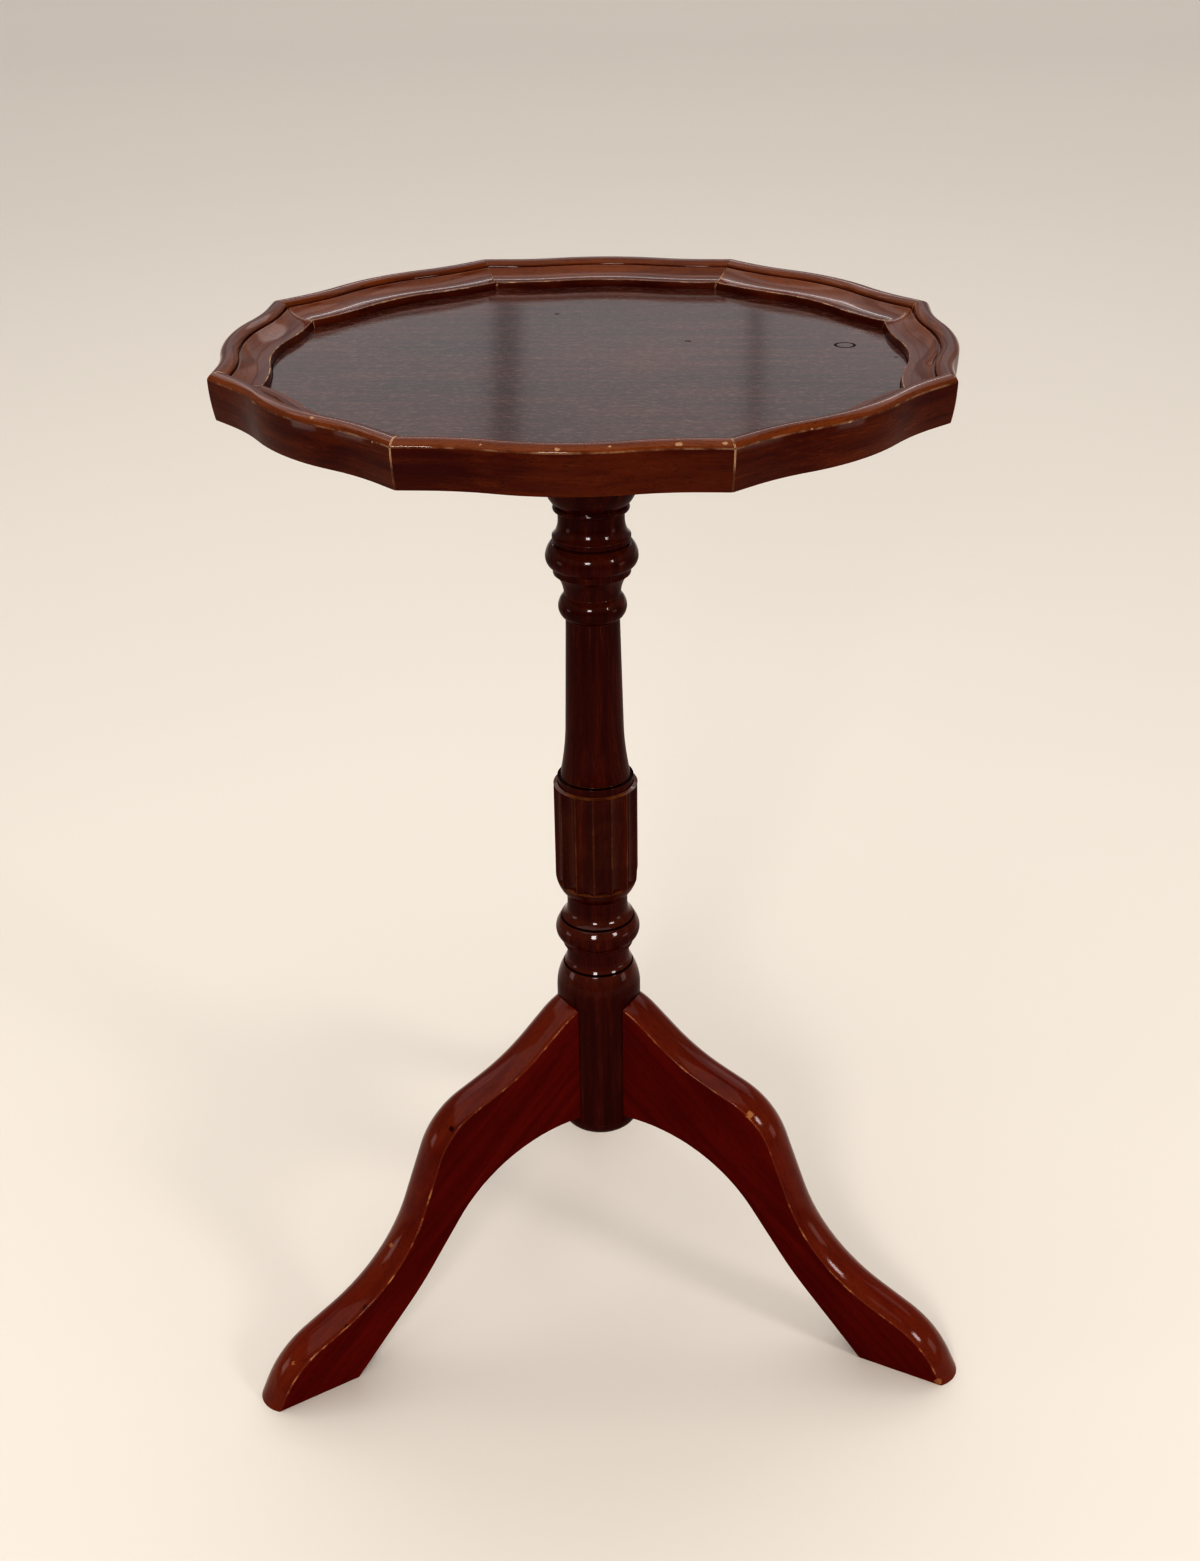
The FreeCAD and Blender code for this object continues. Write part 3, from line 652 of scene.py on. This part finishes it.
@dataclass
class EasedPiece:
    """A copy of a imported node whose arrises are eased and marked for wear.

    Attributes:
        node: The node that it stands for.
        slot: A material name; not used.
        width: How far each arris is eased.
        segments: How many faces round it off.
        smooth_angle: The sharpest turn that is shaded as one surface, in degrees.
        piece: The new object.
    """

    node: str
    slot: str
    width: float
    segments: int = 2
    smooth_angle: float = 32.0
    piece: bpy.types.Object = field(init=False)

    def __post_init__(self) -> None:
        """Copy the node and merge its loose triangles into clean faces."""
        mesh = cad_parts[self.node].data.copy()
        self.piece = bpy.data.objects.new(f"{self.node}_eased", mesh)
        bpy.context.scene.collection.objects.link(self.piece)
        bpy.ops.object.select_all(action="DESELECT")
        self.piece.select_set(True)
        bpy.context.view_layer.objects.active = self.piece
        bpy.ops.object.mode_set(mode="EDIT")
        bpy.ops.mesh.select_all(action="SELECT")
        bpy.ops.mesh.customdata_custom_splitnormals_clear()
        bpy.ops.mesh.remove_doubles(threshold=MERGE_REACH)
        bpy.ops.mesh.dissolve_limited(angle_limit=math.radians(FLAT_TURN), delimit={"NORMAL"})
        bpy.ops.mesh.tris_convert_to_quads(
            face_threshold=math.radians(QUAD_TURN), shape_threshold=math.radians(QUAD_SKEW)
        )
        bpy.ops.object.mode_set(mode="OBJECT")

    def ease(
        self,
        is_arris: Callable[[bmesh.types.BMEdge], bool],
        wear_of: Callable[[bpy.types.MeshPolygon, bool], float] = wear_new_faces,
    ) -> None:
        """Round off arrises and mark the faces that wear.

        Args:
            is_arris: Says which edges are rounded off.
            wear_of: Says how far a face wears, given whether it is one of the new ones; below 0, the face
                is painted darker as shade instead.
        """
        mesh = self.piece.data
        mesh.materials.clear()
        for _ in range(BEVEL_SLOT + 1):
            mesh.materials.append(None)
        bpy.ops.object.mode_set(mode="EDIT")
        bpy.ops.mesh.select_mode(type="EDGE")
        bpy.ops.mesh.select_all(action="DESELECT")
        edit = bmesh.from_edit_mesh(mesh)
        for edge in edit.edges:
            if edge.is_manifold and is_arris(edge):
                edge.select_set(True)
        bmesh.update_edit_mesh(mesh)
        bpy.ops.mesh.bevel(
            offset=self.width,
            segments=self.segments,
            profile=0.5,
            affect="EDGES",
            clamp_overlap=False,
            loop_slide=True,
            material=BEVEL_SLOT,
        )
        bpy.ops.mesh.select_all(action="SELECT")
        bpy.ops.mesh.remove_doubles(threshold=MERGE_REACH)
        bpy.ops.object.mode_set(mode="OBJECT")
        marks = mesh.attributes.new(ARRIS, "FLOAT", "FACE")
        for face, mark in zip(mesh.polygons, marks.data):
            mark.value = wear_of(face, face.material_index == BEVEL_SLOT)
            face.material_index = 0

    def lay_board(self, turn: Matrix, shift: float) -> None:
        """Keep each point's place on the board that the piece was sawn from.

        Args:
            turn: The turn from the table's frame to the board's.
            shift: How far this piece's board is moved along each axis, so that no two are alike.
        """
        board = self.piece.data.attributes.new(BOARD, "FLOAT_VECTOR", "POINT")
        for vertex, place in zip(self.piece.data.vertices, board.data):
            place.vector = turn @ vertex.co + Vector((shift, shift, shift))

    def finish(self, material: bpy.types.Material) -> None:
        """Shade, dress and place the piece.

        Args:
            material: Its material.
        """
        self.piece.data.materials.clear()
        self.piece.data.materials.append(material)
        bpy.ops.object.shade_smooth_by_angle(angle=math.radians(self.smooth_angle))
        weigh = self.piece.modifiers.new("weigh_normals", "WEIGHTED_NORMAL")
        weigh.keep_sharp = True
        bpy.ops.object.modifier_apply(modifier=weigh.name)
        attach(self.piece, BODY)
        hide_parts(self.node)
        log.info("%s: %d faces, %s", self.piece.name, len(self.piece.data.polygons), material.name)


# Sub-assemblies


BARE_WOOD = (0.46, 0.29, 0.17)


@dataclass
class Top:
    """The dished panel and the wavy rim mouldings round it.

    Attributes:
        sides: The sides of the top, as in the nodes' names.
        ease: How far the arrises of the rim are eased.
        sharp: The least turn of an edge that is an arris, in degrees.
        quirk_drop: How far under the table's height the quirk and its two arrises end.
        bead_drop: How far under the table's height the bead meets the outer face.
        edge_slack: How far from its level an arris may lie.
        bead_slack: How far from its level the bead's outer edge may lie.
        upright: The least outward part of a normal on the outer face.
        mitre_facing: The least part of a normal square to the mitre, on the mitre's own face.
        board_step: How far apart the boards of two neighbours lie, in metres.
        arris_wear: How far the mitres and the inner arris wear.
        bead_wear_and_highlight: How far the bead's outer edge wears; its light line is partly wear and
            partly a painted highlight.
    """

    sides: tuple[str, ...] = (
        "front", "front_right", "right", "back_right", "back", "back_left", "left", "front_left",
    )
    ease: float = 0.45 * MM
    sharp: float = 28.0
    quirk_drop: float = 4.4 * MM
    bead_drop: float = 3.0 * MM
    edge_slack: float = 0.4 * MM
    bead_slack: float = 0.1 * MM
    upright: float = 0.85
    mitre_facing: float = 0.999
    board_step: float = 0.37
    arris_wear: float = 0.8
    bead_wear_and_highlight: float = 0.3

    def panel_finish(self) -> Lacquer:
        """Describe the panel's finish."""
        return Lacquer(
            name="panel_lacquer",
            deep=(0.021, 0.0062, 0.0042),
            warm=(0.060, 0.0150, 0.0085),
            streak=(0.180, 0.092, 0.070),
            pore=(0.008, 0.002, 0.001),
            bare=BARE_WOOD,
            # Painted light: the lighter colour laid on sloping faces that look up
            painted_top_light_colour=(0.036, 0.0115, 0.0075),
            grain=Grain.ALONG_X,
            painted_top_light_strength=0.4,
            figure=0.30,
            fleck=0.65,
            fibre=(360.0, 1250.0),
            roughness=0.45,
            gloss=0.11,
            coat_ior=1.5,
            upright=0.12,
            marks=(
                Mark((-0.0218, 0.0871, 0.5428), 1.6 * MM, Harm.DENT),
                Mark((0.0462, 0.0336, 0.5428), 2.0 * MM, Harm.DENT),
                Mark((0.1442, 0.0049, 0.5428), 1.2 * MM, Harm.DENT),
                Mark((0.1215, 0.0266, 0.5428), 4.6 * MM, Harm.RING, depth=0.9),
            ),
        )

    def rim_finish(self) -> Lacquer:
        """Describe the rim's finish."""
        return Lacquer(
            name="rim_lacquer",
            deep=(0.038, 0.0022, 0.0004),
            warm=(0.080, 0.0125, 0.0016),
            streak=(0.185, 0.050, 0.009),
            pore=(0.012, 0.001, 0.0005),
            bare=BARE_WOOD,
            # Painted light: the lighter colour laid on sloping faces that look up
            painted_top_light_colour=(0.195, 0.054, 0.0090),
            grain=Grain.ALONG_Y,
            own_frame=True,
            painted_top_light_strength=0.62,
            figure=0.35,
            gloss=0.10,
            coat_ior=1.28,
            upright=0.55,
            wear=0.50,
            wear_behind=0.42,
            rubbed=0.15,
            marks=(
                Mark((-0.0013, -0.1713, 0.5530), 1.3 * MM, flat=1.8),
                Mark((-0.0320, -0.1668, 0.5533), 0.8 * MM, flat=1.8),
                Mark((0.0193, -0.1690, 0.5536), 0.8 * MM, flat=1.8),
                Mark((0.0462, -0.1648, 0.5533), 1.9 * MM, flat=2.4),
                Mark((0.0642, -0.1640, 0.5534), 1.3 * MM, flat=1.8),
                Mark((-0.1053, -0.1328, 0.5538), 1.2 * MM, flat=2.2),
                Mark((-0.0766, -0.1567, 0.5510), 0.6 * MM),
                Mark((0.1150, -0.1277, 0.5513), 1.4 * MM, flat=2.4),
                Mark((0.0991, -0.1389, 0.5517), 0.8 * MM, flat=2.0),
                Mark((0.1423, 0.0606, 0.5464), 1.3 * MM),
                Mark((-0.0584, 0.1421, 0.5450), 0.8 * MM),
                Mark((0.0591, 0.1418, 0.5450), 0.8 * MM),
            ),
        )

    def build(self) -> None:
        """Dress the panel and ease each rim moulding."""
        dress("top_panel", self.panel_finish().material())
        lacquer = self.rim_finish().material()
        for index, side in enumerate(self.sides):
            self.build_rim(f"rim_{side}", index, lacquer)

    def build_rim(self, node: str, index: int, lacquer: bpy.types.Material) -> None:
        """Ease one rim moulding.

        Args:
            node: Its node.
            index: Its place round the top.
            lacquer: Its material.
        """
        turn = heading(node)
        to_board = Matrix.Rotation(-turn, 3, "Z")
        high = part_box(node)[1]
        panel_side, _, panel_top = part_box("top_panel")[1]
        mitre_turn = math.pi / len(self.sides)
        mitres = [sideways(turn - mitre_turn), sideways(turn + mitre_turn)]

        def is_arris(edge: bmesh.types.BMEdge) -> bool:
            """Pick the mitres, the inner arris above the panel and the bead's outer edge."""
            middle = middle_of(edge)
            level = middle.z
            if abs(level - high.z + self.bead_drop) < self.bead_slack:
                return any((to_board @ face.normal).x > self.upright for face in edge.link_faces)
            if edge.calc_face_angle(0.0) < math.radians(self.sharp):
                return False
            on_mitre = any(
                abs(face.normal.dot(mitre)) > self.mitre_facing
                for face in edge.link_faces
                for mitre in mitres
            )
            outward = (to_board @ middle).x
            is_inner = panel_top + self.edge_slack < level < high.z - self.quirk_drop
            return is_inner or (on_mitre and (outward > panel_side or level > panel_top))

        def wear_of(face: bpy.types.MeshPolygon, is_new: bool) -> float:
            """Wear the bead's outer edge less than the other arrises; its light line is partly a painted
            highlight.
            """
            on_bead = abs(face.center.z - high.z + self.bead_drop) < self.edge_slack
            return is_new * (self.bead_wear_and_highlight if on_bead else self.arris_wear)

        rim = EasedPiece(node, "rim_lacquer", self.ease)
        rim.ease(is_arris, wear_of)
        rim.lay_board(to_board, self.board_step * index)
        rim.finish(lacquer)


@dataclass
class Column:
    """The turned and fluted column.

    Attributes:
        ease: How far its arrises are eased.
        sharp: The least turn of an edge that is an arris, in degrees.
        bore: The radius within which edges belong to the stud's bore.
        flute_end: The level where the flutes end.
        drum_top: The level of the drum's upper edge.
        end_slack: How far from its level a flute's end may lie.
        end_facing: The least upward part of a normal on a flute's end.
        groove_painted_shade: How dark the grooves are painted as shade, as a wear below 0.
        end_painted_highlight: How strongly the flutes' upward-facing ends are painted light as a highlight,
            through the wear's bare colour.
        ridge_wear: How far the ridges between the flutes wear.
        hollow_wear: How far the flutes' hollows wear.
        turned_wear: How far the other turned arrises wear.
        quirks: The lower and upper level of each groove between two turned members.
    """

    ease: float = 0.2 * MM
    sharp: float = 25.0
    bore: float = 6.0 * MM
    flute_end: float = 260.5 * MM
    drum_top: float = 319.3 * MM
    end_slack: float = 4.0 * MM
    end_facing: float = 0.8
    groove_painted_shade: float = -0.9
    end_painted_highlight: float = 0.55
    ridge_wear: float = 0.35
    hollow_wear: float = 0.05
    turned_wear: float = 0.12
    quirks: tuple[Span, ...] = (
        (209.2 * MM, 210.6 * MM),
        (238.1 * MM, 239.5 * MM),
        (323.5 * MM, 324.4 * MM),
        (453.0 * MM, 454.3 * MM),
    )

    def finish(self) -> Lacquer:
        """Describe the column's finish."""
        return Lacquer(
            name="column_lacquer",
            deep=(0.026, 0.0008, 0.0002),
            warm=(0.054, 0.0044, 0.0007),
            streak=(0.17, 0.040, 0.007),
            pore=(0.008, 0.0006, 0.0003),
            bare=(0.30, 0.11, 0.035),
            # Painted light: the lighter colour laid on sloping faces that look up
            painted_top_light_colour=(0.075, 0.0130, 0.0025),
            grain=Grain.ALONG_Z,
            painted_top_light_strength=0.9,
            figure=0.4,
            gloss=0.10,
            coat_ior=1.33,
            upright=0.32,
            wear=0.50,
            wear_behind=0.44,
            rubbed=0.38,
        )

    def build(self) -> None:
        """Ease the column's arrises."""
        column = EasedPiece("column", "column_lacquer", self.ease)
        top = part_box("column")[1].z
        dowels_low, dowels_high = (corner.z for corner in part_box("leg_dowels"))

        def is_arris(edge: bmesh.types.BMEdge) -> bool:
            """Pick the sharp edges that show, and leave out the bore and the dowel holes."""
            if edge.calc_face_angle(0.0) < math.radians(self.sharp):
                return False
            middle = middle_of(edge)
            is_at_dowels = dowels_low - MM < middle.z < dowels_high + MM
            return self.bore < middle.xy.length and middle.z < top - MM and not is_at_dowels

        def wear_of(face: bpy.types.MeshPolygon, is_new: bool) -> float:
            """Paint shade into the grooves and a highlight, in the wear's bare colour, onto the flutes'
            upward ends, and wear the other arrises little.
            """
            level = face.center.z
            # Painted shade: the grooves are darkened as if in shadow
            if any(low < level < high for low, high in self.quirks):
                return self.groove_painted_shade
            to_end = min(abs(level - end) for end in (self.flute_end, self.drum_top))
            # Painted highlight: the flutes' upward-facing ends take the worn arris's light bare colour
            if face.normal.z > self.end_facing and to_end < self.end_slack:
                return self.end_painted_highlight
            if self.flute_end - self.end_slack < level < self.drum_top:
                return self.ridge_wear if is_new else self.hollow_wear
            return is_new * self.turned_wear

        column.ease(is_arris, wear_of)
        column.finish(self.finish().material())


@dataclass
class Legs:
    """The three S-shaped legs.

    Attributes:
        names: Which legs there are, as in the nodes' names.
        ease: How far the arrises are eased.
        root: The radius within which the leg meets the post and stays sharp.
        slope: How steeply the leg's board falls from the post to the toe, in degrees.
        side_facing: The least sideways part of a normal on a leg's flat side.
        board_step: How far apart the boards of two legs lie, in metres.
    """

    names: tuple[str, ...] = ("back", "left", "right")
    ease: float = 0.55 * MM
    root: float = 24.5 * MM
    slope: float = 42.0
    side_facing: float = 0.995
    board_step: float = 0.53

    def finish(self) -> Lacquer:
        """Describe the legs' finish."""
        return Lacquer(
            name="leg_lacquer",
            deep=(0.070, 0.0016, 0.0004),
            warm=(0.106, 0.0046, 0.0008),
            streak=(0.17, 0.028, 0.005),
            pore=(0.022, 0.0009, 0.0004),
            bare=(0.36, 0.155, 0.062),
            # Painted light: the lighter colour laid on sloping faces that look up
            painted_top_light_colour=(0.150, 0.028, 0.0055),
            grain=Grain.ALONG_X,
            own_frame=True,
            painted_top_light_strength=0.6,
            figure=0.2,
            gloss=0.11,
            coat_ior=1.26,
            upright=0.22,
            wear=0.42,
            wear_behind=0.36,
            rubbed=0.10,
            marks=(
                Mark((0.0841, -0.0486, 0.1425), 2.4 * MM, depth=0.85),
                Mark((-0.1112, -0.0799, 0.0720), 1.8 * MM),
                Mark((-0.1613, -0.1220, 0.0242), 1.4 * MM),
                Mark((-0.0761, -0.0650, 0.1406), 1.8 * MM, Harm.DENT, depth=0.9),
                Mark((-0.1239, -0.1010, 0.0462), 2.0 * MM, Harm.DENT),
                Mark((-0.1330, -0.1083, 0.0390), 1.6 * MM, Harm.DENT),
                Mark((0.1895, -0.0978, 0.0022), 2.6 * MM),
            ),
        )

    def build(self) -> None:
        """Ease each leg's arrises."""
        lacquer = self.finish().material()
        for index, name in enumerate(self.names):
            self.build_leg(f"leg_{name}", index, lacquer)

    def build_leg(self, node: str, index: int, lacquer: bpy.types.Material) -> None:
        """Ease one leg.

        Args:
            node: Its node.
            index: Its place round the column.
            lacquer: Its material.
        """
        turn = heading(node)
        across = sideways(turn)

        def is_arris(edge: bmesh.types.BMEdge) -> bool:
            """Pick the edges between a flat side and the rest, clear of the post."""
            flat = [abs(face.normal.dot(across)) > self.side_facing for face in edge.link_faces]
            clear = min(vertex.co.xy.length for vertex in edge.verts) > self.root
            return flat[0] != flat[1] and clear

        leg = EasedPiece(node, "leg_lacquer", self.ease, segments=3)
        leg.ease(is_arris)
        to_board = Matrix.Rotation(math.radians(-self.slope), 3, "Y") @ Matrix.Rotation(-turn, 3, "Z")
        leg.lay_board(to_board, self.board_step * index)
        leg.finish(lacquer)


@dataclass
class Fixings:
    """The block, screws, insert, stud and dowels that hold the table together.

    Attributes:
        steel: The finish of the screws and the stud.
        brass: The finish of the insert.
        block: The finish of the mounting block.
        dowel: The finish of the dowels.
    """

    steel: PlainMetal = PlainMetal("screw_steel", (0.56, 0.56, 0.57), (0.36, 0.36, 0.37))
    brass: PlainMetal = PlainMetal("insert_brass", (0.72, 0.52, 0.24), (0.48, 0.33, 0.15))
    block: PlainWood = PlainWood("block_wood", (0.075, 0.026, 0.012), (0.17, 0.07, 0.032), Grain.ALONG_X)
    dowel: PlainWood = PlainWood("dowel_wood", (0.36, 0.21, 0.10), (0.56, 0.37, 0.20), Grain.ALONG_Z)

    def build(self) -> None:
        """Dress each fixing."""
        steel = self.steel.material()
        dress("mounting_block", self.block.material())
        dress("block_screws", steel)
        dress("threaded_insert", self.brass.material())
        dress("column_stud", steel)
        dress("leg_dowels", self.dowel.material())


# Studio


@dataclass(frozen=True)
class Softbox:
    """One soft oblong light.

    Attributes:
        name: Its name.
        place: Where it hangs, in metres.
        width: Its width.
        height: Its height.
        power: Its power, in watts.
        aim: The point that it faces.
    """

    name: str
    place: Point
    width: float
    height: float
    power: float
    aim: Point = (0.0, 0.0, 0.30)


@dataclass
class Studio:
    """A pale floor, soft light, and a camera at the photo's viewing angle.

    Attributes:
        floor_size: The floor's width.
        softboxes: The lights.
        sky: The colour of the soft light from all round.
        sky_power: Its strength.
        eye: The camera's place.
        tilt: The camera's turns about X, Y and Z, in degrees.
        lens: The camera's focal length, in millimetres on its sensor.
        sensor: The length of the sensor's longer side, in millimetres.
        view: How the light is turned into picture colours.
        look: The picture's contrast.
        exposure: The picture's exposure, in stops.
    """

    floor_size: float = 40.0
    softboxes: tuple[Softbox, ...] = (
        Softbox("key", (1.38, -0.95, 1.08), 0.32, 0.32, 6.8),
        Softbox("front", (-0.22, -1.75, 1.12), 0.36, 0.36, 12.0),
        Softbox("above", (-0.35, -0.1, 2.7), 3.6, 3.6, 46.0),
        Softbox("strip", (0.1, 2.6, 2.2), 2.4, 0.10, 4.0, (0.0, 0.0, 0.55)),
        Softbox("left_card", (-1.15, -0.2, 0.32), 0.3, 0.25, 0.6, (0.0, -0.1, 0.45)),
        Softbox("right_card", (1.15, -0.2, 0.32), 0.3, 0.25, 0.5, (0.0, -0.1, 0.45)),
        Softbox("behind_left", (-2.06, 4.2, 2.9), 2.88, 3.0, 6.55, (-2.06, 0.0, 0.30)),
        Softbox("behind_middle", (-0.195, 4.2, 2.9), 0.69, 3.0, 1.57, (-0.195, 0.0, 0.30)),
        Softbox("behind_right", (1.845, 4.2, 2.9), 3.31, 3.0, 7.55, (1.845, 0.0, 0.30)),
        Softbox("far", (0.0, 8.0, 6.5), 16.0, 10.0, 500.0, (0.0, 8.0, 0.0)),
    )
    sky: Colour = (0.94, 0.96, 1.0)
    sky_power: float = 0.24
    eye: Point = (0.06145, -0.9012, 0.7840)
    tilt: Point = (62.783, 0.770, 3.355)
    lens: float = 44.72
    sensor: float = 36.0
    view: str = "Standard"
    look: str = "High Contrast"
    exposure: float = 0.0

    def build(self) -> None:
        """Lay the floor, hang the lights and set up the camera."""
        settings = bpy.context.scene.view_settings
        settings.view_transform = self.view
        settings.look = self.look
        settings.exposure = self.exposure
        self.lay_floor()
        self.light_sky()
        for softbox in self.softboxes:
            self.hang(softbox)
        self.set_camera()

    def lay_floor(self) -> None:
        """Lay the floor under the table's soles."""
        bpy.ops.object.select_all(action="DESELECT")
        bpy.ops.mesh.primitive_plane_add(size=self.floor_size)
        floor = bpy.context.object
        floor.name = "floor"
        floor.data.materials.append(PaleFloor().material())

    def light_sky(self) -> None:
        """Light the table softly from all round."""
        world = bpy.data.worlds.new("soft_light")
        world.use_nodes = True
        background = world.node_tree.nodes["Background"]
        background.inputs["Color"].default_value = (*self.sky, 1.0)
        background.inputs["Strength"].default_value = self.sky_power
        bpy.context.scene.world = world

    def hang(self, softbox: Softbox) -> None:
        """Hang a light so that it faces its aim.

        Args:
            softbox: The light.
        """
        lamp = bpy.data.lights.new(softbox.name, "AREA")
        lamp.shape = "RECTANGLE"
        lamp.size = softbox.width
        lamp.size_y = softbox.height
        lamp.energy = softbox.power
        holder = bpy.data.objects.new(softbox.name, lamp)
        holder.location = softbox.place
        to_aim = Vector(softbox.aim) - Vector(softbox.place)
        holder.rotation_euler = to_aim.to_track_quat("-Z", "Y").to_euler()
        bpy.context.scene.collection.objects.link(holder)

    def set_camera(self) -> None:
        """Put the camera where the photo was taken from."""
        lens = bpy.data.cameras.new("photo_view")
        lens.lens = self.lens
        lens.sensor_width = self.sensor
        camera = bpy.data.objects.new("photo_view", lens)
        camera.location = self.eye
        camera.rotation_euler = Euler([math.radians(turn) for turn in self.tilt])
        bpy.context.scene.collection.objects.link(camera)
        bpy.context.scene.camera = camera


def main() -> None:
    """Build the table's looks."""
    logging.basicConfig(level=logging.INFO, format="%(message)s")
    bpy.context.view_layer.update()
    for assembly in (Top(), Column(), Legs(), Fixings(), Studio()):
        assembly.build()


if __name__ == "__main__":
    main()
